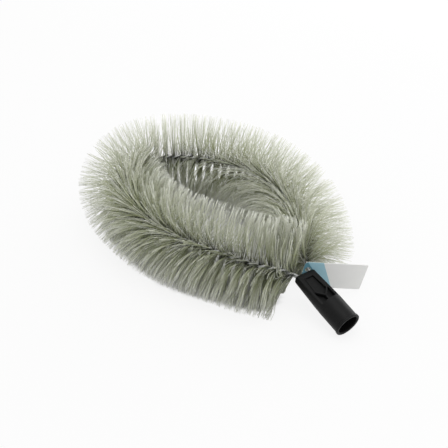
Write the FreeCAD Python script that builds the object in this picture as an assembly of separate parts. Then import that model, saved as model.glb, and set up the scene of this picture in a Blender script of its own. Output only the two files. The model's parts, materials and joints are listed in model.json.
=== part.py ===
import FreeCAD, Part
import math
import os

# Cobweb brush head: a twisted-wire brush bent into a loop, both ends held in a pole socket.
# Millimetres. The brush lies on its bristles, +X runs from the loop to the socket's mouth,
# the loop's straighter side is at -Y, and +Z is up.

Vector = FreeCAD.Vector

# Pole socket
pole_diameter = 23.8
pole_clearance = 0.15
socket_length = 77.0
socket_wall = 2.35
socket_top_radius = 12.8
socket_taper_length = 40.0
socket_top_chamfer = 1.4
socket_droop_angle = 18.0
bore_depth = 29.5
bore_lead_in = 1.0
rim_length = 3.4
rim_stand = 0.6
rim_chamfer = 0.5

# Sloping decks planed on the socket's upper and lower faces, from its top end to a step
deck_length = 45.0
deck_top_height = 4.6
deck_step_height = 6.6
deck_chamfer_length = 3.0
deck_chamfer_height = 1.4

# Coring pockets moulded into the decks
pocket_start = 8.0
pocket_start_half_width = 5.2
pocket_half_width = 7.2
pocket_shoulder = 28.0
pocket_point = 35.4
pocket_floor_height = 3.5
pocket_rib = 1.8
side_pocket_half_width = 9.8
side_pocket_floor_height = 2.6
lip_width = 1.3
lip_stand = 0.5

# Stem of two twisted wires
wire_diameter = 2.0
wire_spacing_gap = 0.44
twist_turns = 31
channel_depth = 22.0
channel_clearance = 0.3
strand_offset = 8.4
strand_splay_angle = 10.0

# Loop that the stem is bent into
loop_reach = 294.0
loop_width = 163.0
loop_height = 51.0

# Bristles, gathered in locks that the wires grip at the middle
bristle_length = 54.0
locks_per_turn = 14
lock_waist_width = 1.0
lock_tip_width = 3.6
lock_grip_clearance = 0.1
lock_fan_angle = 8.0
lock_meeting_gap = 1.6
bare_stem_near = 10.5
bare_stem_far = 10.5

# Hang tag threaded on the far strand
tag_length = 73.0
tag_height = 37.0
tag_thickness = 0.6
tag_corner_radius = 4.0
tag_tip_radius = 1.5
tag_clip_length = 13.0
tag_clip_height = 19.0
tag_hole_radius = 3.1
tag_hole_from_end = 5.2
tag_hole_from_top = 10.6
tag_stand_off = 4.2
tag_lean_angle = 29.0
tag_roll_angle = 10.5
tag_tilt_angle = 8.9
tag_clearance = 0.8

# Cuts run past the faces they open by this much
overrun = 5.0

# Modelling resolution
wire_sides = 6
wire_steps_per_turn = 6
path_samples = 240

# The loop's course from the near strand round to the far strand: shares of the reach, the width
# and the climb from the socket's top to the height of the loop
loop_course_shares = (
    (0.109, 0.172, 0.35), (0.245, 0.325, 0.80), (0.378, 0.442, 1.0), (0.527, 0.497, 1.0),
    (0.680, 0.491, 1.0), (0.830, 0.429, 1.0), (0.952, 0.270, 1.0), (0.997, 0.037, 1.0),
    (0.918, -0.227, 1.0), (0.789, -0.405, 1.0), (0.646, -0.491, 1.0), (0.503, -0.497, 1.0),
    (0.340, -0.429, 0.90), (0.204, -0.307, 0.65), (0.065, -0.117, 0.20),
)

# Neighbouring locks stray from the groove between the wires by these shares of the fan angle
lock_fan_shares = (0, -1, 1)

# Least share of their tip width that locks keep on the inside of a bend
lock_least_tip_share = 0.1

bore_radius = pole_diameter / 2 + pole_clearance
tube_radius = bore_radius + socket_wall
rim_radius = tube_radius + rim_stand
wire_radius = wire_diameter / 2
wire_orbit = (wire_radius + wire_spacing_gap / 2) / math.cos(math.pi / wire_steps_per_turn)
stem_radius = wire_orbit + wire_radius
channel_radius = stem_radius + channel_clearance

droop = math.radians(socket_droop_angle)
splay = math.radians(strand_splay_angle)
up = Vector(0, 0, 1)
across = Vector(0, 1, 0)
to_mouth = Vector(math.cos(droop), 0, -math.sin(droop))
socket_top = up * (rim_radius * math.cos(droop) + socket_length * math.sin(droop))


def place_on_socket(shape):
    """Move a shape drawn with its axis on +X and its top end at the origin on to the socket's axis."""
    rotation = FreeCAD.Rotation(across, socket_droop_angle)
    placed = shape.copy()
    placed.Placement = FreeCAD.Placement(socket_top, rotation)
    return placed


def socket_skin():
    """Revolved outside of the socket."""
    rim_start = socket_length - rim_length
    points = [
        Vector(0, 0, 0),
        Vector(0, 0, socket_top_radius - socket_top_chamfer),
        Vector(socket_top_chamfer, 0, socket_top_radius),
        Vector(socket_taper_length, 0, tube_radius),
        Vector(rim_start, 0, tube_radius),
        Vector(rim_start + rim_stand, 0, rim_radius),
        Vector(socket_length - rim_chamfer, 0, rim_radius),
        Vector(socket_length, 0, rim_radius - rim_chamfer),
        Vector(socket_length, 0, 0),
    ]
    return Part.Face(Part.makePolygon(points + points[:1])).revolve(Vector(), Vector(1, 0, 0), 360)


def above_deck(stand):
    """Space above the upper deck, raised by the given height."""
    top = rim_radius + overrun
    foot = deck_top_height - deck_chamfer_height + stand
    outline = [(-overrun, foot), (0, foot), (deck_chamfer_length, deck_top_height + stand),
               (deck_length, deck_step_height + stand), (deck_length, top), (-overrun, top)]
    corners = [Vector(along, -top, height) for along, height in outline]
    return Part.Face(Part.makePolygon(corners + corners[:1])).extrude(across * (2 * top))


def prism(outline, low, high):
    """Straight block over an outline of (along, across) points between two heights."""
    corners = [Vector(along, side, low) for along, side in outline]
    return Part.Face(Part.makePolygon(corners + corners[:1])).extrude(up * (high - low))


def pocket_outline(grow):
    """Five-sided pocket, wider towards its point at the mouth's end, grown by the given width."""
    flare = math.atan2(pocket_half_width - pocket_start_half_width, pocket_shoulder - pocket_start)
    slant = math.atan2(pocket_half_width, pocket_point - pocket_shoulder)
    start = pocket_start - grow
    start_half = pocket_start_half_width + grow / math.cos(flare) - grow * math.tan(flare)
    point = pocket_point + grow / math.sin(slant)
    side_length = ((point - start) * math.tan(slant) - start_half) / (math.tan(flare) + math.tan(slant))
    half = start_half + side_length * math.tan(flare)
    return [(start, -start_half), (start + side_length, -half), (point, 0),
            (start + side_length, half), (start, start_half)]


def side_pocket_outline(side):
    """Pocket between the rib round the main pocket's point and the step."""
    slant = math.atan2(pocket_half_width, pocket_point - pocket_shoulder)
    rib_point = pocket_point + pocket_rib / math.sin(slant)
    inner = pocket_rib / 2
    outer = side_pocket_half_width
    return [(rib_point - outer / math.tan(slant), side * outer), (deck_length, side * outer),
            (deck_length, side * inner), (rib_point - inner / math.tan(slant), side * inner)]


def make_socket():
    skin = socket_skin()
    body = skin
    top = rim_radius + overrun
    pockets = []
    for turn in (0, 180):
        deck = above_deck(0)
        lip = skin.common(prism(pocket_outline(lip_width), pocket_floor_height, top)).cut(above_deck(lip_stand))
        cores = [prism(pocket_outline(0), pocket_floor_height, top)]
        cores += [prism(side_pocket_outline(side), side_pocket_floor_height, top) for side in (-1, 1)]
        for solid in [deck, lip] + cores:
            solid.rotate(Vector(), Vector(1, 0, 0), turn)
        body = body.cut(deck).fuse(lip)
        pockets += cores
    body = body.cut(Part.makeCompound(pockets))
    mouth = Vector(socket_length, 0, 0)
    inward = Vector(-1, 0, 0)
    bore = Part.makeCylinder(bore_radius, bore_depth + overrun, mouth - inward * overrun, inward)
    lead_in = Part.makeCone(bore_radius + bore_lead_in, bore_radius, bore_lead_in, mouth, inward)
    body = body.cut(bore).cut(lead_in)
    for side in (-1, 1):
        away = Vector(-math.cos(splay), side * math.sin(splay), 0)
        entry = across * (side * strand_offset)
        channel = Part.makeCylinder(channel_radius, channel_depth + wire_radius + overrun,
                                    entry + away * overrun, away * -1)
        body = body.cut(channel)
    return place_on_socket(body.removeSplitter())


class Stem:
    """Centre line of the twisted stem: straight in both channels, a smooth loop between them."""

    def __init__(self):
        near_away = to_mouth * -math.cos(splay) - across * math.sin(splay)
        far_away = to_mouth * -math.cos(splay) + across * math.sin(splay)
        climb = loop_height - socket_top.z
        points = [socket_top - across * strand_offset]
        for along, side, rise in loop_course_shares:
            points.append(socket_top + Vector(-along * loop_reach, -side * loop_width, rise * climb))
        points.append(socket_top + across * strand_offset)
        self.curve = Part.BSplineCurve()
        self.curve.interpolate(Points=points, InitialTangent=near_away, FinalTangent=far_away * -1)
        self.length = self.curve.length()
        self.pitch = (self.length - bare_stem_near - bare_stem_far) / twist_turns
        self.samples = [self.at(self.length * step / path_samples)[0] for step in range(path_samples + 1)]

    def at(self, distance):
        """Point, direction, inward side and lift of the stem at a distance from the near entry."""
        held = min(max(distance, 0), self.length)
        parameter = self.curve.parameterAtDistance(held, self.curve.FirstParameter)
        point, direction = self.curve.getD1(parameter)
        direction.normalize()
        inward = direction.cross(up).normalize()
        return point + direction * (distance - held), direction, inward, inward.cross(direction)

    def reach(self, distance, sign):
        """How far bristles go to one side before they meet those of another stretch of the loop."""
        point, _, inward, _ = self.at(distance)
        nearest = bristle_length
        for other in self.samples:
            offset = Vector(other.x - point.x, other.y - point.y, 0)
            lean = sign * offset.dot(inward)
            if lean > wire_radius / path_samples:
                nearest = min(nearest, offset.dot(offset) / (2 * lean) - lock_meeting_gap / 2)
        return nearest

    def room(self, distance, out):
        """Length that bristles have in a direction square to the stem."""
        _, _, inward, _ = self.at(distance)
        length = bristle_length
        for sign in (-1, 1):
            facing = sign * out.dot(inward)
            if facing > 0:
                length = min(length, self.reach(distance, sign) / facing)
        return length

    def squeeze(self, distance, out, length):
        """Share of the stem's spacing that bristles keep at their tips, less on the inside of a bend."""
        before = self.at(distance - wire_radius)[1]
        after = self.at(distance + wire_radius)[1]
        bend = (after - before) * (0.5 / wire_radius)
        return max(1 - length * out.dot(bend), lock_least_tip_share)


def polygon(centre, first_way, second_way, radius, sides):
    """Closed regular outline round a point, in the plane of two square directions."""
    corners = []
    for corner in range(sides):
        angle = 2 * math.pi * (corner + 0.5) / sides
        corners.append(centre + first_way * (radius * math.cos(angle)) + second_way * (radius * math.sin(angle)))
    return Part.makePolygon(corners + corners[:1])


def wire_stations(stem, phase):
    """Points of one wire's centre line as it winds round the stem."""
    whole = stem.length + 2 * channel_depth
    steps = round(whole / stem.pitch * wire_steps_per_turn)
    stations = []
    for step in range(steps + 1):
        distance = whole * step / steps - channel_depth
        point, _, inward, lift = stem.at(distance)
        angle = 2 * math.pi * distance / stem.pitch + phase
        stations.append(point + inward * (wire_orbit * math.cos(angle)) + lift * (wire_orbit * math.sin(angle)))
    return stations


def make_wire(stations):
    """One wire of the stem, in short straight lengths mitred into each other."""
    along = (stations[1] - stations[0]).normalize()
    side = along.cross(up).normalize()
    pipe = Part.BRepOffsetAPI.MakePipeShell(Part.makePolygon(stations))
    mitred_corners = 1
    pipe.setTransitionMode(mitred_corners)
    pipe.add(polygon(stations[0], side, side.cross(along), wire_radius, wire_sides))
    pipe.build()
    pipe.makeSolid()
    return pipe.shape()


def half_space(point, normal):
    """Block larger than the brush, on the side of a plane that its normal points to."""
    reach = loop_reach + bristle_length
    block = Part.makeBox(2 * reach, 2 * reach, 2 * reach, Vector(-reach, -reach, 0))
    block.Placement = FreeCAD.Placement(point, FreeCAD.Rotation(up, normal))
    return block


def lock_section(centre, along, side, width, depth):
    """Three corners of a lock's cross-section."""
    return [centre - along * (width / 2) - side * (depth / 2), centre + along * (width / 2) - side * (depth / 2),
            centre + side * (depth / 2)]


def make_lock(stem, distance, angle):
    """Bristles laid across the stem between the wires, flaring from their waist to both cut ends."""
    point, direction, inward, lift = stem.at(distance)
    out = inward * math.cos(angle) + lift * math.sin(angle)
    side = direction.cross(out)
    waist_depth = wire_spacing_gap - 2 * lock_grip_clearance
    waist = lock_section(point, direction, side, lock_waist_width, waist_depth)
    tips = []
    for way in (out, out * -1):
        length = stem.room(distance, way)
        width = lock_tip_width * stem.squeeze(distance, way, length)
        tips.append(lock_section(point + way * length, direction, side, width, lock_tip_width))
    triangles = [tips[0], tips[1]]
    for tip in tips:
        for corner in range(len(tip)):
            after = (corner + 1) % len(tip)
            triangles += [[waist[corner], waist[after], tip[after]], [waist[corner], tip[after], tip[corner]]]
    faces = [Part.Face(Part.makePolygon(corners + corners[:1])) for corners in triangles]
    lock = Part.Solid(Part.Shell(faces))
    if lock.Volume < 0:
        lock.reverse()
    return lock


def tag_axes(stem):
    """Hole centre, long direction, upward direction and face direction of the hang tag."""
    hole = stem.at(stem.length - tag_stand_off)[0]
    lean = math.radians(tag_lean_angle)
    roll = math.radians(tag_roll_angle)
    tilt = math.radians(tag_tilt_angle)
    level = Vector(math.sin(lean), math.cos(lean), 0)
    upright = up * math.cos(tilt) + level.cross(up) * math.sin(tilt)
    long_way = level * math.cos(roll) - upright * math.sin(roll)
    high_way = level * math.sin(roll) + upright * math.cos(roll)
    return hole, long_way, high_way, long_way.cross(high_way)


def make_tag(stem):
    hole, long_way, high_way, face_way = tag_axes(stem)
    right = tag_length
    top = tag_height
    hole_end = tag_corner_radius
    tip = tag_tip_radius
    arc_share = 1 - math.sqrt(0.5)
    edges = [
        Part.makeLine(Vector(tag_clip_length, 0, 0), Vector(right - tip, 0, 0)),
        Part.Arc(Vector(right - tip, 0, 0), Vector(right - tip * arc_share, tip * arc_share, 0),
                 Vector(right, tip, 0)).toShape(),
        Part.makeLine(Vector(right, tip, 0), Vector(right, top - tip, 0)),
        Part.Arc(Vector(right, top - tip, 0), Vector(right - tip * arc_share, top - tip * arc_share, 0),
                 Vector(right - tip, top, 0)).toShape(),
        Part.makeLine(Vector(right - tip, top, 0), Vector(hole_end, top, 0)),
        Part.Arc(Vector(hole_end, top, 0), Vector(hole_end * arc_share, top - hole_end * arc_share, 0),
                 Vector(0, top - hole_end, 0)).toShape(),
        Part.makeLine(Vector(0, top - hole_end, 0), Vector(0, tag_clip_height, 0)),
        Part.makeLine(Vector(0, tag_clip_height, 0), Vector(tag_clip_length, 0, 0)),
    ]
    card = Part.Face(Part.Wire(edges)).extrude(up * tag_thickness)
    hole_at = Vector(tag_hole_from_end, top - tag_hole_from_top, 0)
    card = card.cut(Part.makeCylinder(tag_hole_radius, tag_thickness + 2 * overrun, hole_at - up * overrun))
    turn = FreeCAD.Rotation(long_way, high_way, face_way)
    card.Placement = FreeCAD.Placement(hole - turn.multVec(hole_at + up * (tag_thickness / 2)), turn)
    return card


def make_turns(stem):
    """One entry per turn of the twist, each with the locks that the wires grip in it."""
    hole, _, _, face_way = tag_axes(stem)
    behind_tag = half_space(hole - face_way * (tag_thickness / 2 + tag_clearance), face_way)
    below_floor = half_space(Vector(), up * -1)
    fan = math.radians(lock_fan_angle)
    made = []
    for turn in range(twist_turns):
        locks = []
        for step in range(locks_per_turn):
            distance = bare_stem_near + stem.pitch * (turn + (step + 0.5) / locks_per_turn)
            groove = 2 * math.pi * distance / stem.pitch + math.pi / 2
            lock = make_lock(stem, distance, groove + fan * lock_fan_shares[step % len(lock_fan_shares)])
            if lock.BoundBox.ZMin < 0:
                lock = lock.cut(below_floor)
            if stem.length - distance < bristle_length:
                lock = lock.cut(behind_tag)
            locks += lock.Solids
        made.append(Part.makeCompound(locks))
    return made


def least_gap(first, second):
    """Least distance between the two wires' surfaces, measured on their stations and between them."""
    gaps = []
    for stations, others in ((first, second), (second, first)):
        for place in range(len(stations) - 1):
            middle = (stations[place] + stations[place + 1]) * 0.5
            near = others[max(0, place - wire_steps_per_turn):place + wire_steps_per_turn]
            runs = [Part.makeLine(begin, finish) for begin, finish in zip(near, near[1:])]
            gaps += [run.distToShape(Part.Vertex(middle))[0] for run in runs]
    return min(gaps) - 2 * wire_radius


def main():
    stem = Stem()
    nodes = {"socket": make_socket()}
    wires = [wire_stations(stem, phase) for phase in (0, math.pi)]
    for number, stations in enumerate(wires, 1):
        nodes["stem_wire_%d" % number] = make_wire(stations)
    nodes["hang_tag"] = make_tag(stem)
    for number, turn in enumerate(make_turns(stem), 1):
        nodes["bristle_turn_%02d" % number] = turn
    print("stem length %.1f, gap between the wires %.2f" % (stem.length, least_gap(*wires)))

    # The origin is under the middle of the whole brush
    box = Part.makeCompound(list(nodes.values())).optimalBoundingBox(False, False)
    shift = Vector(-box.Center.x, -box.Center.y, -box.ZMin)
    os.makedirs("parts", exist_ok=True)
    for name, shape in nodes.items():
        shape.translated(shift).exportStep("parts/%s.step" % name)
    hole, _, _, face_way = tag_axes(stem)
    print("size %.2f %.2f %.2f" % (box.XLength, box.YLength, box.ZLength))
    print("shift %.3f %.3f %.3f" % tuple(shift))
    print("mouth %.4f %.4f %.4f" % tuple(socket_top + to_mouth * socket_length + shift))
    print("mouth direction %.6f %.6f %.6f" % tuple(to_mouth))
    print("tag hole %.4f %.4f %.4f" % tuple(hole + shift))
    print("tag face direction %.6f %.6f %.6f" % tuple(face_way))


main()
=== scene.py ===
import json
import math

import bpy
import numpy as np
from bpy.props import FloatProperty, FloatVectorProperty, IntProperty, PointerProperty
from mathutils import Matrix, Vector


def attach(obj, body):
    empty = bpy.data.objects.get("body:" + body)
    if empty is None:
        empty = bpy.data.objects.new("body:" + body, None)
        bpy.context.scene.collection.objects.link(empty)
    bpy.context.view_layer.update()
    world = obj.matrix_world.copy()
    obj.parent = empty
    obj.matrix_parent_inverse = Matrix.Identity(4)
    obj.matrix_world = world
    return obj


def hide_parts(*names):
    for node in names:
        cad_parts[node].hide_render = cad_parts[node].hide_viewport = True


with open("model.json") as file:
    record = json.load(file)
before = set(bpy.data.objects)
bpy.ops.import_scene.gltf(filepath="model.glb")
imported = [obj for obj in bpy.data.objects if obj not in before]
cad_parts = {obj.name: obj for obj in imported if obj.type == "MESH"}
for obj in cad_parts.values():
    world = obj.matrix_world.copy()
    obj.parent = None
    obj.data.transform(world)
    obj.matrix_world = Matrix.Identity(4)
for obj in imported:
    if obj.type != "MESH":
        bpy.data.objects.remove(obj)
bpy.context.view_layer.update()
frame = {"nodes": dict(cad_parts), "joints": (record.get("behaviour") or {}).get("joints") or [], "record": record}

bl_info = {
    "name": "Cobweb Brush",
    "version": (1, 0, 0),
    "blender": (4, 5, 0),
    "location": "View3D > Sidebar > Brush",
    "description": "Dresses a looped twisted-wire cobweb brush with bristles, wires, socket and tag finishes",
    "category": "Add Mesh",
}

pole_mount = frame["record"]["mounts"][0]
tag_joint = frame["joints"][0]
bristle_nodes = sorted(name for name in frame["nodes"] if name.startswith("bristle_turn"))

up = Vector((0, 0, 1))
across = Vector((0, 1, 0))
white = (1, 1, 1, 1)

# Share of a turn from one clump to the next, which spaces them evenly round the stem
golden_share = (math.sqrt(5) - 1) / 2

# The twist's grooves lie this share of a turn behind the wires
groove_phase_share = 0.25

# Scatter of filaments within a clump: turn and lean in radians, bend as a share of the length
filament_turn_scatter = 0.012
filament_lean_scatter = 0.005
filament_bend_share = 0.006

# Shortest and longest filament, as shares of the bristles' length
trim_shares = (1.015, 1.045)

# Scatter of the tints within a clump
tint_scatter = 0.12

# Share of the roots' slope that is lost again by the tips
root_sweep_loss_share = 0.8

# How the far strand's sweep is shared between its lowest and its highest bristles
neck_hang_share = 1.8
neck_rise_share = 0.4

# Bristles keep at least the first share of their length where strands meet, and are free past the second
least_reach_share = 0.05
free_reach_share = 0.999

# Filaments pressed on the floor lie in a layer this many diameters deep
pressed_layers = 3

# The tag holds off the bristles on its own side, and this share of their length beyond it
tag_side_share = 0.125

# Samples of the stem: on each run of its course, where its strands meet and round the kept shade
course_steps = 60
meeting_samples = 300
shade_samples = 160

# Shares of the channel's depth and of the meeting gap that count as next to nothing
nudge_share = 0.01
least_lean_share = 0.01

# Index of refraction of the filaments and of the socket's plastic
filament_ior = 1.5
plastic_ior = 1.49

# Shares of red, green and blue light that wander inside a filament
glow_shares = (1, 1, 0.9)

# The loop's course from the near strand round to the far strand: shares of the reach, the width
# and the climb from the socket's top to the height of the loop
loop_course_shares = (
    (0.109, 0.172, 0.35), (0.245, 0.325, 0.80), (0.378, 0.442, 1.0), (0.527, 0.497, 1.0),
    (0.680, 0.491, 1.0), (0.830, 0.429, 1.0), (0.952, 0.270, 1.0), (0.997, 0.037, 1.0),
    (0.918, -0.227, 1.0), (0.789, -0.405, 1.0), (0.646, -0.491, 1.0), (0.503, -0.497, 1.0),
    (0.340, -0.429, 0.90), (0.204, -0.307, 0.65), (0.065, -0.117, 0.20),
)


def size(name, description, default):
    """A length that a user can change."""
    return FloatProperty(name=name, description=description, default=default, unit="LENGTH", precision=5)


def lengths(name, description, default):
    """A position, or a pair of sides, that a user can change."""
    return FloatVectorProperty(name=name, description=description, default=default, size=len(default),
                               unit="LENGTH")


def tally(name, description, default):
    """A whole number that a user can change."""
    return IntProperty(name=name, description=description, default=default)


def angle(name, description, degrees):
    """An angle that a user can change."""
    return FloatProperty(name=name, description=description, default=math.radians(degrees), unit="ROTATION")


def colour(name, description, default):
    """A colour that a user can change."""
    return FloatVectorProperty(name=name, description=description, default=default, subtype="COLOR", size=3,
                               min=0, max=1)


def share(name, description, default):
    """A share or strength that a user can change."""
    return FloatProperty(name=name, description=description, default=default)


def group(kind, name, description):
    """A group of settings."""
    return PointerProperty(type=kind, name=name, description=description)


class StemSettings(bpy.types.PropertyGroup):
    """Twisted wires and the loop that they are bent into"""
    socket_length: size("Socket Length", "From the socket's mouth to the face that the wires enter", 0.077)
    bore_lead_in: size("Bore Lead-in", "From the mouth to the start of the pole bore", 0.001)
    loop_reach: size("Loop Reach", "From the socket's top to the far end of the loop", 0.294)
    loop_width: size("Loop Width", "Across the loop, between the two strands", 0.163)
    loop_height: size("Loop Height", "Height of the stem above the floor", 0.051)
    strand_offset: size("Strand Offset", "From the socket's axis to each strand's channel", 0.0084)
    strand_splay: angle("Strand Splay", "How far each strand leans out of the socket", 10)
    channel_depth: size("Channel Depth", "Length of wire inside the socket", 0.022)
    bare_length: size("Bare Length", "Stem without bristles at each end", 0.0105)
    wire_diameter: size("Wire Diameter", "Thickness of one wire", 0.002)
    wire_gap: size("Wire Gap", "Room between the two wires", 0.0002)
    wire_sides: tally("Wire Sides", "Facets round one wire", 10)
    steps_per_turn: tally("Steps per Turn", "Points along one turn of the twist", 18)
    steel: colour("Steel", "Colour of the galvanised wire", (0.32, 0.325, 0.32))
    mottle: size("Mottle", "Width of the zinc's mottling", 0.004)
    mottle_gain: share("Mottle Gain", "How much brighter the mottling is", 1.6)
    metal: share("Metal", "How far the wire is bare metal", 0.85)
    roughness: share("Roughness", "Roughness of the shiniest steel", 0.38)
    roughness_spread: share("Roughness Spread", "How much rougher the mottling is", 0.22)
    draw_mark: size("Draw Mark", "Width of the marks left by drawing the wire", 0.0008)
    draw_depth: size("Draw Depth", "Depth of those marks", 0.00008)
    draw_strength: share("Draw Strength", "How strongly those marks show", 0.25)


class BristleSettings(bpy.types.PropertyGroup):
    """Loose filaments gripped by the stem"""
    clumps_per_turn: tally("Clumps per Turn", "Clumps in one turn of the twist", 250)
    clump_count: tally("Filaments per Clump", "Filaments in one clump", 2)
    sides: tally("Sides", "Facets round one filament", 3)
    rings: tally("Rings", "Steps along one filament", 6)
    length: size("Length", "From the stem's middle to the tip", 0.054)
    diameter: size("Diameter", "Thickness of one filament", 0.00035)
    tip_share: share("Tip Share", "Thickness of a tip, as a share of the foot's", 0.8)
    root_gather: share("Root Gather", "Share by which roots are drawn into the grooves of the twist", 0.72)
    tip_gather: share("Tip Gather", "Share by which tips are drawn together above the grooves", 0.14)
    turn_scatter: angle("Turn Scatter", "How far clumps stray round the stem from an even spacing", 10)
    lean_scatter: angle("Lean Scatter", "How far clumps lean along the stem", 1.5)
    clump_spread: size("Clump Spread", "Length of stem that one clump grows from", 0.0003)
    root_sweep: share("Root Sweep", "Slope along the stem, away from the socket, at the roots", 0.22)
    upright_length: size("Upright Length", "Stem by the socket over which that slope sets in", 0.019)
    droop: angle("Droop", "Turn of the level bristles towards the floor", 31)
    sag: share("Sag", "Fall of a level bristle's tip, as a share of its length", 0.03)
    neck_lead: size("Neck Lead", "How far the first bristles start ahead of the first turn", 0.0055)
    lobe_start: size("Lobe Start", "Place along the stem to which the first tips are swept", 0.019)
    neck_sweep: angle("Neck Sweep", "How far the far strand's last bristles are swept along the stem", 25)
    neck_length: size("Neck Length", "Length of stem over which that sweep fades", 0.04)
    meeting_gap: size("Meeting Gap", "Room left where two stretches of the loop meet", 0.0016)
    tag_gap: size("Tag Gap", "Room left behind the hang tag", 0.0014)
    # Painted shade and light along each filament: the root's darkness is painted shade for the shaded valley along
    # the stem, and the tip's paleness is painted light for light shining through the filaments. The body's olive
    # is the filaments' own colour.
    root: colour("Root", "Colour at the stem", (0.045, 0.052, 0.026))
    body: colour("Body", "Colour along the middle", (0.40, 0.44, 0.24))
    tip: colour("Tip", "Colour at the cut ends", (0.72, 0.75, 0.59))
    olive: colour("Olive", "Darker colour that filaments are tinted with", (0.14, 0.155, 0.075))
    # Pale: the own pale tone of a random few filaments, also used as painted highlights that stand in for bright
    # streaks
    pale: colour("Pale", "Colour that the palest filaments are mixed with", (0.85, 0.86, 0.78))
    # Where the painted shade at the root gives way to the body, and where the painted light at the tip sets in
    root_end: share("Root End", "Share of the length that keeps the root's colour", 0.08)
    body_start: share("Body Start", "Share of the length at which the body's colour is reached", 0.42)
    tip_start: share("Tip Start", "Share of the length at which the tip's colour is half reached", 0.7)
    olive_share: share("Olive Share", "How far the most tinted filaments are tinted", 0.85)
    olive_fade: share("Olive Fade", "Share of that tint that is lost towards the tips", 0.6)
    # Which filaments get the pale colour's painted highlights, and how strongly
    pale_from: share("Pale From", "Tint past which a filament is one of the palest", 0.8)
    pale_share: share("Pale Share", "How far those are mixed with the pale colour", 0.5)
    roughness: share("Roughness", "Roughness of the glossiest filaments", 0.26)
    roughness_spread: share("Roughness Spread", "How much rougher the dullest filaments are", 0.16)
    glow: share("Glow", "Share of the light that wanders inside a filament", 0.9)
    glow_depth: size("Glow Depth", "How far that light wanders", 0.0012)


class SocketSettings(bpy.types.PropertyGroup):
    """Moulded pole socket"""
    plastic: colour("Plastic", "Colour of the moulded plastic", (0.0026, 0.0027, 0.0027))
    grain: size("Grain", "Width of the moulded grain", 0.0006)
    grain_depth: size("Grain Depth", "Depth of the moulded grain", 0.00006)
    grain_strength: share("Grain Strength", "How strongly the grain shows", 0.3)
    flow: size("Flow", "Width of the flow marks", 0.02)
    flow_gain: share("Flow Gain", "How much paler the flow marks are", 1.7)
    gloss: share("Gloss", "Strength of the plastic's reflections", 0.16)
    roughness: share("Roughness", "Roughness of the glossiest plastic", 0.42)
    roughness_spread: share("Roughness Spread", "How much rougher the flow marks are", 0.16)


class TagSettings(bpy.types.PropertyGroup):
    """Printed card hang tag"""
    card: colour("Card", "Colour of the bare card", (0.91, 0.91, 0.89))
    block: colour("Block", "Colour of the printed end", (0.11, 0.28, 0.36))
    wash: colour("Wash", "Paler colour across the printed end", (0.40, 0.66, 0.76))
    dull: share("Dull", "Brightness of the dullest card, as a share", 0.86)
    fibre: size("Fibre", "Width of the card's fibres", 0.0005)
    fibre_depth: size("Fibre Depth", "Height of the card's fibres", 0.00005)
    fibre_strength: share("Fibre Strength", "How strongly the fibres show", 0.15)
    fibre_share: share("Fibre Share", "How far the fibres dull the card", 0.5)
    cloud: size("Cloud", "Width of the card's cloudy patches", 0.012)
    cloud_share: share("Cloud Share", "How far the patches dull the card", 0.3)
    roughness: share("Roughness", "Roughness of the glossiest card", 0.48)
    roughness_spread: share("Roughness Spread", "How much rougher the fibres are", 0.12)
    block_length: size("Block Length", "From the hole to the end of the printed block", 0.021)
    block_slant: share("Block Slant", "Slant of the block's end", 0.5)
    wash_start: size("Wash Start", "From the hole to the start of the paler colour", 0.006)
    wash_slant: share("Wash Slant", "Slant of the paler colour's edge", 0.8)
    wash_share: share("Wash Share", "Strength of the paler colour", 0.75)
    lean: angle("Lean", "Turn of the card about the upright", 29)
    roll: angle("Roll", "Droop of the card's far end", 10.5)
    tilt: angle("Tilt", "Lean of the card's face", 8.9)


class StageSettings(bpy.types.PropertyGroup):
    """Camera, lamps and floor"""
    azimuth: angle("Azimuth", "Camera's turn round the brush", 52.6)
    elevation: angle("Elevation", "Camera's height above the horizon", 33)
    focal_pixels: tally("Focal Pixels", "Focal length in pixels of the square frame", 1080)
    frame_pixels: tally("Frame Pixels", "Side of the square frame in pixels", 448)
    distance: size("Distance", "From the aim point to the camera", 1.2363)
    aim: lengths("Aim", "Middle of the frame, measured from the pole mount", (-0.1897, -0.0192, 0.0364))
    floor: colour("Floor", "Colour of the floor", (0.82, 0.82, 0.82))
    floor_side: size("Floor Side", "Side of the square floor", 8)
    grid_side: size("Grid Side", "Side of the finer square under the brush", 0.6)
    grid_cuts: tally("Grid Cuts", "Cuts across that square", 100)
    floor_glow: share("Floor Glow", "Share of plain white that the camera sees on the open floor", 0.85)
    shade_reach: size("Shade Reach", "How far the floor's own shade is kept outside the stem", 0.0235)
    shade_fade: size("Shade Fade", "Width over which that shade gives way to white", 0.006)
    shade_from: share("Shade From", "Share of the stem's length at which that shade starts", 0.072)
    shade_to: share("Shade To", "Share of the stem's length at which that shade ends", 0.9)
    back_power: share("Back Power", "Power of the large lamp behind", 15)
    back_sides: lengths("Back Sides", "Width and height of the large lamp behind", (3.2, 0.6))
    back_place: lengths("Back Place", "Position of the large lamp behind", (-0.62, 1.36, 0.35))
    top_power: share("Top Power", "Power of the lamp overhead", 11)
    top_sides: lengths("Top Sides", "Width and height of the lamp overhead", (1.2, 1.2))
    top_place: lengths("Top Place", "Position of the lamp overhead", (0.35, -0.1, 1.75))
    sky: share("Sky", "Strength of the white surroundings", 0.72)


class BrushSettings(bpy.types.PropertyGroup):
    """All the brush's settings"""
    stem: group(StemSettings, "Stem", "Twisted wires and the loop that they are bent into")
    bristles: group(BristleSettings, "Bristles", "Loose filaments gripped by the stem")
    socket: group(SocketSettings, "Socket", "Moulded pole socket")
    tag: group(TagSettings, "Tag", "Printed card hang tag")
    stage: group(StageSettings, "Stage", "Camera, lamps and floor")


def settings():
    """The brush's settings in this scene."""
    return bpy.context.scene.brush


# Shader maths

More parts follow.
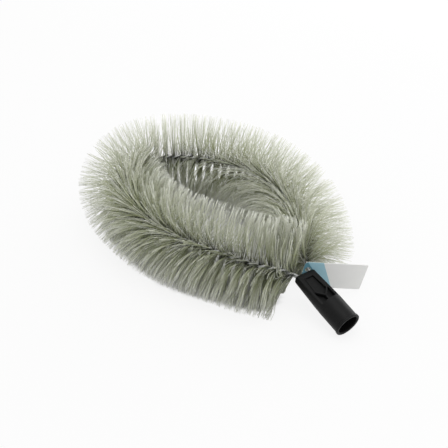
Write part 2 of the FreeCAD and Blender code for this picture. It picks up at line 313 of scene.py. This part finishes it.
class Signal:
    """A number that varies over a surface. Arithmetic on it adds Math nodes."""

    def __init__(self, finish, socket):
        self.finish = finish
        self.socket = socket

    def __add__(self, other):
        return self.finish.maths("ADD", self, other)

    def __radd__(self, other):
        return self.finish.maths("ADD", other, self)

    def __sub__(self, other):
        return self.finish.maths("SUBTRACT", self, other)

    def __rsub__(self, other):
        return self.finish.maths("SUBTRACT", other, self)

    def __mul__(self, other):
        return self.finish.maths("MULTIPLY", self, other)

    def __rmul__(self, other):
        return self.finish.maths("MULTIPLY", other, self)

    def __gt__(self, other):
        return self.finish.maths("GREATER_THAN", self, other)


class Finish:
    """The nodes of a material, or of the surroundings, under construction."""

    # Places of a Mix node's factor, two colours and result among its sockets
    mix_factor = 0
    mix_first = 6
    mix_second = 7
    mix_result = 2

    def __init__(self, owner, output="ShaderNodeOutputMaterial"):
        self.owner = owner
        owner.use_nodes = True
        self.tree = owner.node_tree
        self.tree.nodes.clear()
        self.output = self.node(output)

    def node(self, kind, options=None, inputs=None):
        """Add a node: its options are set first, then values or links go to its sockets."""
        node = self.tree.nodes.new(kind)
        for name, value in (options or {}).items():
            if name == "stops":
                self.set_stops(node.color_ramp, value)
            else:
                setattr(node, name, value)
        for name, value in (inputs or {}).items():
            socket = node.inputs[name]
            if isinstance(value, Signal):
                value = value.socket
            if isinstance(value, bpy.types.NodeSocket):
                self.tree.links.new(value, socket)
            else:
                socket.default_value = value
        return node

    @staticmethod
    def set_stops(ramp, stops):
        """Give a colour ramp its places and colours."""
        while len(ramp.elements) < len(stops):
            ramp.elements.new(1)
        for element, (place, rgb) in zip(ramp.elements, stops):
            element.position = place
            element.color = shade(rgb)

    def maths(self, operation, first, second):
        """Result of a Math node."""
        node = self.node("ShaderNodeMath", {"operation": operation}, {0: first, 1: second})
        return Signal(self, node.outputs[0])

    def mix(self, factor, first, second):
        """Colour between two colours."""
        node = self.node("ShaderNodeMix", {"data_type": "RGBA"}, {
            self.mix_factor: factor, self.mix_first: first, self.mix_second: second})
        return node.outputs[self.mix_result]

    def place(self):
        """Position on the piece, in metres."""
        return self.node("ShaderNodeTexCoord").outputs["Object"]

    def noise(self, width, detail=2):
        """Smooth noise with patches about as wide as the given length."""
        node = self.node("ShaderNodeTexNoise", None,
                         {"Vector": self.place(), "Scale": 1 / width, "Detail": detail})
        return Signal(self, node.outputs["Fac"])

    def along(self, origin, way):
        """Distance of a point from an origin along a direction."""
        offset = self.node("ShaderNodeVectorMath", {"operation": "SUBTRACT"}, {0: self.place(), 1: origin})
        node = self.node("ShaderNodeVectorMath", {"operation": "DOT_PRODUCT"}, {0: offset.outputs[0], 1: way})
        return Signal(self, node.outputs["Value"])

    def bump(self, height, strength, depth):
        """Normal of a surface with a shallow relief."""
        node = self.node("ShaderNodeBump", None, {"Strength": strength, "Distance": depth, "Height": height})
        return node.outputs[0]

    def surface(self, **inputs):
        """Finish with one Principled shader. Socket names are written with underscores."""
        named = {name.replace("_", " "): value for name, value in inputs.items()}
        return self.done(self.node("ShaderNodeBsdfPrincipled", None, named))

    def seen(self):
        """1 for what the camera, mirrors and clear pieces see, 0 for the light that falls on a piece."""
        path = self.node("ShaderNodeLightPath")
        camera = Signal(self, path.outputs["Is Camera Ray"])
        glossy = Signal(self, path.outputs["Is Glossy Ray"])
        clear = Signal(self, path.outputs["Is Transmission Ray"])
        return self.maths("MINIMUM", camera + glossy + clear, 1)

    def done(self, shader):
        """Finish with a shader node."""
        self.tree.links.new(shader.outputs[0], self.output.inputs[0])
        return self.owner


def new_finish(name):
    """A new material under construction."""
    return Finish(bpy.data.materials.new(name))


def shade(rgb, gain=1):
    """A colour as a socket takes it, made brighter or darker by a gain."""
    return (*(gain * part for part in rgb), 1)


# The stem's centre line

def as_array(vector):
    """A vector, or a list of vectors, for sums on many points at once."""
    return np.array(vector, float)


class StemLine:
    """Centre line of the stem from the near strand's channel to the far strand's, sampled evenly."""

    def __init__(self, stem):
        to_mouth = Vector(pole_mount["axis"]).normalized()
        mouth = Vector(pole_mount["pos_m"]) + to_mouth * stem.bore_lead_in
        top = mouth - to_mouth * stem.socket_length
        climb = stem.loop_height - top.z
        near_way = -to_mouth * math.cos(stem.strand_splay) - across * math.sin(stem.strand_splay)
        far_way = to_mouth * math.cos(stem.strand_splay) - across * math.sin(stem.strand_splay)
        points = [top - across * stem.strand_offset]
        for along, side, rise in loop_course_shares:
            points.append(top + Vector((-along * stem.loop_reach, -side * stem.loop_width, rise * climb)))
        points.append(top + across * stem.strand_offset)
        curve = self.smooth(as_array(points), as_array(near_way), as_array(far_way))
        steps = np.linalg.norm(np.diff(curve, axis=0), axis=1)
        walked = np.concatenate([[0], np.cumsum(steps)])
        self.length = walked[-1]
        self.pitch = (self.length - 2 * stem.bare_length) / len(bristle_nodes)
        self.depth = stem.channel_depth
        # straight ends inside the socket
        first = curve[0] - as_array(near_way) * self.depth
        last = curve[-1] + as_array(far_way) * self.depth
        self.distances = np.concatenate([[-self.depth], walked, [self.length + self.depth]])
        self.points = np.vstack([first, curve, last])

    @staticmethod
    def smooth(points, first_way, last_way):
        """Smooth curve through points, with given directions at its ends."""
        gaps = np.linalg.norm(np.diff(points, axis=0), axis=1)
        slopes = np.diff(points, axis=0) / gaps[:, None]
        count = len(points)
        matrix = np.eye(count)
        known = np.zeros((count, 3))
        known[0] = first_way
        known[-1] = last_way
        for knot in range(1, count - 1):
            before, after = gaps[knot - 1], gaps[knot]
            matrix[knot, knot - 1:knot + 2] = after, 2 * (before + after), before
            known[knot] = 3 * (after * slopes[knot - 1] + before * slopes[knot])
        ways = np.linalg.solve(matrix, known)
        share_along = np.linspace(0, 1, course_steps, endpoint=False)[:, None]
        square, cube = share_along ** 2, share_along ** 3
        runs = []
        for knot, gap in enumerate(gaps):
            runs.append((2 * cube - 3 * square + 1) * points[knot]
                        + (cube - 2 * square + share_along) * gap * ways[knot]
                        + (3 * square - 2 * cube) * points[knot + 1]
                        + (cube - square) * gap * ways[knot + 1])
        return np.vstack(runs + [points[-1:]])

    def at(self, distances):
        """Points, directions, inward sides and lifts of the stem at distances from the near entry."""
        distances = np.asarray(distances, float)
        nudge = self.depth * nudge_share
        point = self.sample(distances)
        way = self.sample(distances + nudge) - self.sample(distances - nudge)
        way /= np.linalg.norm(way, axis=1)[:, None]
        inward = np.cross(way, as_array(up))
        inward /= np.linalg.norm(inward, axis=1)[:, None]
        return point, way, inward, np.cross(inward, way)

    def sample(self, distances):
        """Points of the centre line at distances from the near entry."""
        columns = [np.interp(distances, self.distances, column) for column in self.points.T]
        return np.stack(columns, axis=1)

    def reach(self, distances, sign, longest, gap):
        """How far bristles go to one side before they meet those of another stretch of the loop."""
        point, _, inward, _ = self.at(distances)
        others = self.sample(np.linspace(0, self.length, meeting_samples))
        offset = others[None, :, :2] - point[:, None, :2]
        lean = sign * np.einsum("ijk,ik->ij", offset, inward[:, :2])
        square = (offset ** 2).sum(axis=2)
        least = gap * least_lean_share
        meets = np.where(lean > least, square / np.maximum(2 * lean, least), 2 * longest)
        return np.minimum(meets.min(axis=1) - gap / 2, longest)


def deselect():
    """Leave nothing selected for the next operator."""
    bpy.ops.object.select_all(action="DESELECT")


def dress(piece, body, slot, material, *nodes):
    """Hand a finished piece to the frame."""
    piece.data.materials.clear()
    piece.data.materials.append(material)
    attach(piece, body)
    if nodes:
        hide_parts(*nodes)


# Bristles

def model_filament(bristles):
    """One upright filament of unit length and radius: a foot extruded ring by ring to a thinner tip."""
    deselect()
    bpy.ops.mesh.primitive_circle_add(vertices=bristles.sides, radius=1, fill_type="NGON")
    bpy.ops.object.mode_set(mode="EDIT")
    bpy.ops.mesh.select_all(action="SELECT")
    for _ in range(bristles.rings):
        bpy.ops.mesh.extrude_region_move(TRANSFORM_OT_translate={"value": (0, 0, 1 / bristles.rings)})
    bpy.ops.transform.resize(value=(bristles.tip_share, bristles.tip_share, 1))
    bpy.ops.mesh.select_all(action="SELECT")
    bpy.ops.mesh.normals_make_consistent(inside=False)
    bpy.ops.object.mode_set(mode="OBJECT")
    return bpy.context.object


class FilamentCopies:
    """Copies of the modelled filament, bent along their own lines and gathered in one mesh."""

    def __init__(self, model):
        mesh = model.data
        self.corners = np.array([vertex.co for vertex in mesh.vertices])
        self.faces = [list(face.vertices) for face in mesh.polygons]
        self.loops = np.array([corner for face in self.faces for corner in face])
        self.starts = np.cumsum([0] + [len(face) for face in self.faces[:-1]])
        bpy.data.objects.remove(model)
        bpy.data.meshes.remove(mesh)

    def gather(self, name, lines, side, lift, radius, tints):
        """One mesh with a filament along each line of points."""
        count, rings = lines.shape[:2]
        ring = np.rint(self.corners[:, 2] * (rings - 1)).astype(int)
        places = (lines[:, ring]
                  + radius * self.corners[None, :, 0, None] * side[:, None]
                  + radius * self.corners[None, :, 1, None] * lift[:, None])
        copies = np.arange(count)[:, None]
        loops = copies * len(self.corners) + self.loops[None]
        starts = copies * len(self.loops) + self.starts[None]
        along = np.broadcast_to(self.corners[self.loops, 2], (count, len(self.loops)))
        tint = np.broadcast_to(tints[:, None], along.shape)
        mesh = bpy.data.meshes.new(name)
        mesh.vertices.add(count * len(self.corners))
        mesh.vertices.foreach_set("co", places.astype(np.float32).ravel())
        mesh.loops.add(loops.size)
        mesh.loops.foreach_set("vertex_index", loops.astype(np.int32).ravel())
        mesh.polygons.add(starts.size)
        mesh.polygons.foreach_set("loop_start", starts.astype(np.int32).ravel())
        mesh.polygons.foreach_set("use_smooth", np.ones(starts.size, bool))
        mesh.update(calc_edges=True)
        chart = np.stack([tint, along], axis=2).astype(np.float32)
        mesh.uv_layers.new(name="OFBake").data.foreach_set("uv", chart.ravel())
        piece = bpy.data.objects.new(name, mesh)
        bpy.context.scene.collection.objects.link(piece)
        return piece


def bristle_finish(bristles):
    """Synthetic filament, no two quite alike: olive along the body, dark at the stem with painted shade, pale at
    the tip with painted light.
    """
    finish = new_finish("bristle_filament")
    chart = finish.node("ShaderNodeUVMap", {"uv_map": "OFBake"})
    parts = finish.node("ShaderNodeSeparateXYZ", None, {0: chart.outputs[0]})
    tint = Signal(finish, parts.outputs[0])
    along = Signal(finish, parts.outputs[1])
    middle = tuple((first + second) / 2 for first, second in zip(bristles.body, bristles.tip))
    # Ramp from the root's painted shade through the olive body to the tip's painted light
    stops = (
        (bristles.root_end, bristles.root),
        (bristles.body_start, bristles.body),
        (bristles.tip_start, middle),
        (1, bristles.tip),
    )
    ramp = finish.node("ShaderNodeValToRGB", {"stops": stops}, {0: along})
    tinted = tint * (1 - along * bristles.olive_fade) * bristles.olive_share
    base = finish.mix(tinted, ramp.outputs[0], shade(bristles.olive))
    # The palest filaments are mixed with the pale colour: random tone, and painted highlights for bright streaks
    base = finish.mix((tint > bristles.pale_from) * bristles.pale_share, base, shade(bristles.pale))
    return finish.surface(Base_Color=base, Roughness=bristles.roughness + tint * bristles.roughness_spread,
                          IOR=filament_ior, Subsurface_Weight=bristles.glow,
                          Subsurface_Radius=glow_shares, Subsurface_Scale=bristles.glow_depth)


class BRUSH_OT_bristles(bpy.types.Operator):
    """Grow the filaments of every turn of the twist"""
    bl_idname = "brush.bristles"
    bl_label = "Bristles"

    def execute(self, context):
        stem = settings().stem
        bristles = settings().bristles
        line = StemLine(stem)
        copies = FilamentCopies(model_filament(bristles))
        material = bristle_finish(bristles)
        pitch = line.pitch
        for turn, node in enumerate(bristle_nodes):
            random = np.random.default_rng(turn + 1)
            lead = bristles.neck_lead if turn == 0 else 0
            start = stem.bare_length + pitch * turn - lead
            piece = self.grow(node, line, copies, random, start, pitch + lead, bristles)
            dress(piece, "brush_head", "bristle_filament", material, node)
        return {"FINISHED"}

    def grow(self, node, line, copies, random, start, span, bristles):
        """Filaments of one turn, in clumps that the twist's grooves draw together at the roots."""
        pitch = line.pitch
        half_turn = pitch / 2
        clumps = round(bristles.clumps_per_turn * span / pitch)
        each = bristles.clump_count
        order = np.arange(clumps)
        tip_at = start + span * (order + random.random(clumps)) / clumps
        clump_turn = 2 * math.pi * (golden_share * order + random.random())
        clump_turn += random.normal(0, bristles.turn_scatter, clumps)
        groove_at = (clump_turn / (2 * math.pi) - groove_phase_share) * pitch
        astray = (tip_at - groove_at + half_turn / 2) % half_turn - half_turn / 2
        clump_at = tip_at - bristles.root_gather * astray
        fan = (bristles.root_gather - bristles.tip_gather) * astray / bristles.length
        clump_lean = random.normal(0, bristles.lean_scatter, clumps) + fan
        clump_bend = random.normal(0, filament_bend_share, (clumps, 2))

        def spread(values):
            return np.repeat(values, each, axis=0)

        count = clumps * each
        at = spread(clump_at) + bristles.clump_spread * random.uniform(-1, 1, count)
        at = np.clip(at, start, line.length - half_turn)
        turn = spread(clump_turn) + random.normal(0, filament_turn_scatter, count)
        turn -= bristles.droop * np.cos(turn)
        lean = spread(clump_lean) + random.normal(0, filament_lean_scatter, count)
        lean += self.sweep(at, line.length - at, turn, bristles)
        bend = spread(clump_bend) + random.normal(0, filament_bend_share, (count, 2))
        length = bristles.length * random.uniform(*trim_shares, count)
        point, way, inward, lift = line.at(at)
        out = np.cos(turn)[:, None] * inward + np.sin(turn)[:, None] * lift
        side = -np.sin(turn)[:, None] * inward + np.cos(turn)[:, None] * lift
        steps = np.linspace(0, 1, bristles.rings + 1)[None, :, None]
        reach_out = out * np.cos(lean)[:, None] + way * np.sin(lean)[:, None]
        slope = bristles.root_sweep * (1 - np.exp(-at / bristles.upright_length))
        swept = (slope * np.cos(math.pi * at / line.length))[:, None] * way
        lines = point[:, None] + length[:, None, None] * (
            steps * reach_out[:, None]
            + steps * (1 - root_sweep_loss_share * steps) * swept[:, None]
            + steps ** 2 * (bend[:, 0, None] * side + bend[:, 1, None] * way)[:, None])
        level = np.linalg.norm(reach_out[:, :2], axis=1)
        lines[:, :, 2] -= (bristles.sag * level * length)[:, None] * steps[..., 0] ** 2
        lines = self.part_strands(lines, point, inward, lift, line, at, bristles)
        lines = self.press_on_floor(lines, point, random, bristles)
        lines = self.keep_off_tag(lines, bristles)
        tints = np.clip(spread(random.random(clumps)) + random.normal(0, tint_scatter, count), 0, 1)
        name = node.replace("bristle_turn", "filaments")
        return copies.gather(name, lines, side, way, bristles.diameter / 2, tints)

    @staticmethod
    def sweep(from_near, from_far, turn, bristles):
        """Lean of the bristles by the socket: hanging ones away from it, the far strand's others over it."""
        hanging = (1 - np.sin(turn)) / 2
        near = np.arcsin(np.clip((bristles.lobe_start - from_near) / bristles.length, 0, 1)) * hanging
        far_share = (neck_hang_share + neck_rise_share) * hanging - neck_rise_share
        far = np.exp(-from_far / bristles.neck_length) * far_share
        return near - bristles.neck_sweep * far

    @staticmethod
    def part_strands(lines, point, inward, lift, line, at, bristles):
        """Bend filaments up or down where two stretches of the loop meet."""
        offset = lines - point[:, None]
        sideways = np.einsum("ijk,ik->ij", offset, inward)
        bent = sideways.copy()
        for sign in (-1, 1):
            reach = line.reach(at, sign, bristles.length, bristles.meeting_gap)
            reach = np.maximum(reach, bristles.length * least_reach_share)
            facing = np.maximum(sign * sideways, 0)
            held = reach[:, None] * np.tanh(facing / reach[:, None])
            free = np.broadcast_to((reach >= bristles.length * free_reach_share)[:, None], facing.shape)
            bent -= sign * np.where(free, 0, facing - held)
        lost = np.abs(sideways) - np.abs(bent)
        rise = np.where(np.einsum("ik,ik->i", offset[:, -1], lift) > 0, 1, -1)
        aside = (bent - sideways)[..., None] * inward[:, None]
        raised = (lost * rise[:, None])[..., None] * lift[:, None]
        return lines + aside + raised

    @staticmethod
    def press_on_floor(lines, point, random, bristles):
        """Splay the filaments that the floor stops."""
        ground = bristles.diameter * (1 + pressed_layers * random.random((lines.shape[0], 1)))
        sunk = np.maximum(ground - lines[:, :, 2], 0)
        outward = lines[:, -1, :2] - point[:, :2]
        outward /= np.maximum(np.linalg.norm(outward, axis=1), bristles.diameter)[:, None]
        lines[:, :, :2] += sunk[..., None] * outward[:, None]
        lines[:, :, 2] += sunk
        return lines

    @staticmethod
    def keep_off_tag(lines, bristles):
        """Hold filaments behind the hang tag's plane, as far as the tag can swing."""
        hole = as_array(tag_joint["pos_m"])
        face = as_array(tag_joint["axis"])
        offset = lines - hole
        ahead = offset @ face + bristles.tag_gap
        far_strand = (offset[:, :1] @ as_array(across)) > -bristles.length * tag_side_share
        push = np.where(far_strand, np.maximum(ahead, 0), 0)
        return lines - push[..., None] * face


# Stem wires

def steel_finish(stem):
    """Dull galvanised wire, mottled along its length."""
    finish = new_finish("galvanised_wire")
    mottle = finish.noise(stem.mottle, detail=4)
    drawn = finish.noise(stem.draw_mark)
    base = finish.mix(mottle, shade(stem.steel), shade(stem.steel, stem.mottle_gain))
    return finish.surface(Base_Color=base, Metallic=stem.metal,
                          Roughness=stem.roughness + mottle * stem.roughness_spread,
                          Normal=finish.bump(drawn, stem.draw_strength, stem.draw_depth))


class BRUSH_OT_wires(bpy.types.Operator):
    """Twist two round wires along the loop"""
    bl_idname = "brush.wires"
    bl_label = "Stem Wires"

    def execute(self, context):
        stem = settings().stem
        line = StemLine(stem)
        pitch = line.pitch
        whole = line.length + 2 * stem.channel_depth
        steps = round(whole / pitch * stem.steps_per_turn)
        distances = np.linspace(-stem.channel_depth, line.length + stem.channel_depth, steps + 1)
        point, _, inward, lift = line.at(distances)
        orbit = stem.wire_diameter / 2 + stem.wire_gap / 2
        material = steel_finish(stem)
        for number, phase in enumerate((0, math.pi), 1):
            turn = (2 * math.pi * distances / pitch + phase)[:, None]
            course = point + orbit * (np.cos(turn) * inward + np.sin(turn) * lift)
            piece = self.wind("wire_%d" % number, course, stem)
            dress(piece, "brush_head", "stem_steel", material, "stem_wire_%d" % number)
        return {"FINISHED"}

    @staticmethod
    def wind(name, course, stem):
        """A round wire along a course of points."""
        curve = bpy.data.curves.new(name, "CURVE")
        curve.dimensions = "3D"
        curve.bevel_depth = stem.wire_diameter / 2
        # a bevel has four sides, and two more for each step of its resolution
        curve.bevel_resolution = (stem.wire_sides - 4) // 2
        curve.use_fill_caps = True
        spline = curve.splines.new("POLY")
        spline.points.add(len(course) - 1)
        spline.points.foreach_set("co", np.hstack([course, np.ones((len(course), 1))]).ravel())
        spline.use_smooth = True
        piece = bpy.data.objects.new(name, curve)
        bpy.context.scene.collection.objects.link(piece)
        deselect()
        piece.select_set(True)
        bpy.context.view_layer.objects.active = piece
        bpy.ops.object.convert(target="MESH")
        return bpy.context.object


# Socket

def plastic_finish(socket):
    """Matte moulded plastic with a fine grain and faint flow marks."""
    finish = new_finish("moulded_plastic")
    grain = finish.noise(socket.grain)
    flow = finish.noise(socket.flow, detail=3)
    base = finish.mix(flow, shade(socket.plastic), shade(socket.plastic, socket.flow_gain))
    return finish.surface(Base_Color=base, IOR=plastic_ior, Specular_IOR_Level=socket.gloss,
                          Roughness=socket.roughness + flow * socket.roughness_spread,
                          Normal=finish.bump(grain, socket.grain_strength, socket.grain_depth))


class BRUSH_OT_socket(bpy.types.Operator):
    """Give the moulded socket its plastic"""
    bl_idname = "brush.socket"
    bl_label = "Pole Socket"

    def execute(self, context):
        piece = frame["nodes"]["socket"]
        piece.data.materials.clear()
        piece.data.materials.append(plastic_finish(settings().socket))
        return {"FINISHED"}


# Hang tag

def card_ways(tag):
    """Long, upward and face directions of the card."""
    level = Vector((math.sin(tag.lean), math.cos(tag.lean), 0))
    upright = up * math.cos(tag.tilt) + level.cross(up) * math.sin(tag.tilt)
    long_way = level * math.cos(tag.roll) - upright * math.sin(tag.roll)
    high_way = level * math.sin(tag.roll) + upright * math.cos(tag.roll)
    return long_way, high_way, long_way.cross(high_way)


def card_finish(tag):
    """Pale card, printed with a plain block at the end that it hangs from."""
    finish = new_finish("printed_card")
    hole = Vector(tag_joint["pos_m"])
    long_way, high_way, face_way = card_ways(tag)
    along = finish.along(hole, long_way)
    height = finish.along(hole, high_way)
    front = finish.along(hole, face_way) > 0
    fibre = finish.noise(tag.fibre, detail=3)
    cloud = finish.noise(tag.cloud)
    dulled = fibre * tag.fibre_share + cloud * tag.cloud_share
    stock = finish.mix(dulled, shade(tag.card), shade(tag.card, tag.dull))
    printed = (tag.block_length - (along + height * tag.block_slant) > 0) * front
    washed = (along + height * tag.wash_slant > tag.wash_start) * tag.wash_share
    ink = finish.mix(washed, shade(tag.block), shade(tag.wash))
    base = finish.mix(printed, stock, ink)
    return finish.surface(Base_Color=base, Roughness=tag.roughness + fibre * tag.roughness_spread,
                          Normal=finish.bump(fibre, tag.fibre_strength, tag.fibre_depth))


class BRUSH_OT_tag(bpy.types.Operator):
    """Print the card hang tag"""
    bl_idname = "brush.tag"
    bl_label = "Hang Tag"

    def execute(self, context):
        piece = frame["nodes"]["hang_tag"]
        piece.data.materials.clear()
        piece.data.materials.append(card_finish(settings().tag))
        return {"FINISHED"}


# Stage

def floor_shade(stage, line, places):
    """Share of its own shade that the floor keeps: all of it under the loop, none of it in the open."""
    shares = np.linspace(stage.shade_from, stage.shade_to, shade_samples)
    course = line.sample(shares * line.length)[:, :2]
    run = np.roll(course, -1, axis=0) - course
    away = np.linalg.norm(places[:, None] - course[None], axis=2).min(axis=1)
    before = course[None, :, 1] > places[:, 1:]
    after = (course + run)[None, :, 1] > places[:, 1:]
    slope = run[:, 0] / np.where(run[:, 1] == 0, 1, run[:, 1])
    crossing = course[None, :, 0] + (places[:, 1:] - course[None, :, 1]) * slope[None]
    inside = ((before != after) & (places[:, :1] < crossing)).sum(axis=1) % 2 == 1
    away[inside] = 0
    return np.clip((stage.shade_reach + stage.shade_fade - away) / stage.shade_fade, 0, 1)


def floor_finish(stage):
    """Pale floor, white in the open, that keeps its shade under the loop."""
    finish = new_finish("studio_floor")
    matt = finish.node("ShaderNodeBsdfDiffuse", None, {"Color": shade(stage.floor)})
    kept = finish.node("ShaderNodeAttribute", {"attribute_name": "kept_shade"})
    glow = (1 - Signal(finish, kept.outputs["Fac"])) * stage.floor_glow
    plain = finish.node("ShaderNodeEmission", None, {"Color": white, "Strength": 1})
    return finish.done(finish.node("ShaderNodeMixShader", None, {
        0: finish.seen() * glow, 1: matt.outputs[0], 2: plain.outputs[0]}))


class BRUSH_OT_stage(bpy.types.Operator):
    """Set up the camera, lamps, surroundings and floor"""
    bl_idname = "brush.stage"
    bl_label = "Stage"

    def execute(self, context):
        stage = settings().stage
        self.add_camera(stage)
        self.add_lamp("back_lamp", stage.back_power, stage.back_sides, stage.back_place)
        self.add_lamp("top_lamp", stage.top_power, stage.top_sides, stage.top_place)
        self.add_surroundings(stage)
        self.add_floor(stage)
        context.scene.view_settings.view_transform = "Standard"
        return {"FINISHED"}

    @staticmethod
    def add_floor(stage):
        """A wide floor with a fine grid under the brush, which carries the kept shade."""
        deselect()
        bpy.ops.mesh.primitive_plane_add(size=stage.floor_side, location=(0, 0, 0))
        floor = bpy.context.object
        floor.name = "studio_floor"
        bpy.ops.object.mode_set(mode="EDIT")
        bpy.ops.mesh.select_all(action="SELECT")
        bpy.ops.mesh.inset(thickness=(stage.floor_side - stage.grid_side) / 2)
        bpy.ops.mesh.subdivide(number_cuts=stage.grid_cuts)
        bpy.ops.object.mode_set(mode="OBJECT")
        places = np.array([vertex.co[:2] for vertex in floor.data.vertices])
        shares = floor_shade(stage, StemLine(settings().stem), places)
        kept = floor.data.attributes.new("kept_shade", "FLOAT", "POINT")
        kept.data.foreach_set("value", shares.astype(np.float32))
        floor.data.materials.append(floor_finish(stage))

    @staticmethod
    def add_camera(stage):
        """A camera at the photograph's viewing angle."""
        flat = math.cos(stage.elevation)
        back = Vector((
            math.sin(stage.azimuth) * flat,
            -math.cos(stage.azimuth) * flat,
            math.sin(stage.elevation),
        ))
        deselect()
        aim = Vector(pole_mount["pos_m"]) + Vector(stage.aim)
        bpy.ops.object.camera_add(location=aim + back * stage.distance)
        camera = bpy.context.object
        camera.name = "camera"
        camera.rotation_mode = "QUATERNION"
        camera.rotation_quaternion = (-back).to_track_quat("-Z", "Y")
        camera.data.sensor_fit = "HORIZONTAL"
        camera.data.lens = camera.data.sensor_width * stage.focal_pixels / stage.frame_pixels
        bpy.context.scene.camera = camera

    @staticmethod
    def add_lamp(name, power, sides, place):
        """A flat lamp that faces the brush."""
        deselect()
        bpy.ops.object.light_add(type="AREA", location=place)
        lamp = bpy.context.object
        lamp.name = name
        lamp.data.shape = "RECTANGLE"
        lamp.data.size, lamp.data.size_y = sides
        lamp.data.energy = power
        lamp.rotation_mode = "QUATERNION"
        lamp.rotation_quaternion = (-Vector(place)).to_track_quat("-Z", "Y")

    @staticmethod
    def add_surroundings(stage):
        """Even white light from all round, seen as plain white."""
        world = bpy.data.worlds.new("surroundings")
        finish = Finish(world, "ShaderNodeOutputWorld")
        strength = stage.sky + finish.seen() * (1 - stage.sky)
        finish.done(finish.node("ShaderNodeBackground", None, {"Color": white, "Strength": strength}))
        bpy.context.scene.world = world


class BRUSH_PT_panel(bpy.types.Panel):
    """The brush's operators and settings"""
    bl_idname = "BRUSH_PT_panel"
    bl_label = "Cobweb Brush"
    bl_space_type = "VIEW_3D"
    bl_region_type = "UI"
    bl_category = "Brush"

    def draw(self, context):
        for operator in operators:
            self.layout.operator(operator.bl_idname)
        brush = context.scene.brush
        for chapter in (brush.stem, brush.bristles, brush.socket, brush.tag, brush.stage):
            box = self.layout.box()
            for name in chapter.__annotations__:
                box.prop(chapter, name)


setting_groups = (StemSettings, BristleSettings, SocketSettings, TagSettings, StageSettings, BrushSettings)
operators = (BRUSH_OT_stage, BRUSH_OT_socket, BRUSH_OT_tag, BRUSH_OT_wires, BRUSH_OT_bristles)
classes = setting_groups + operators + (BRUSH_PT_panel,)


def register():
    """Make the settings, operators and panel known to Blender."""
    for item in classes:
        bpy.utils.register_class(item)
    bpy.types.Scene.brush = group(BrushSettings, "Cobweb Brush", "All the brush's settings")


def unregister():
    """Take them away again."""
    del bpy.types.Scene.brush
    for item in reversed(classes):
        bpy.utils.unregister_class(item)


def main():
    """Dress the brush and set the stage."""
    register()
    bpy.ops.brush.stage()
    bpy.ops.brush.socket()
    bpy.ops.brush.tag()
    bpy.ops.brush.wires()
    bpy.ops.brush.bristles()


if __name__ == "__main__":
    main()
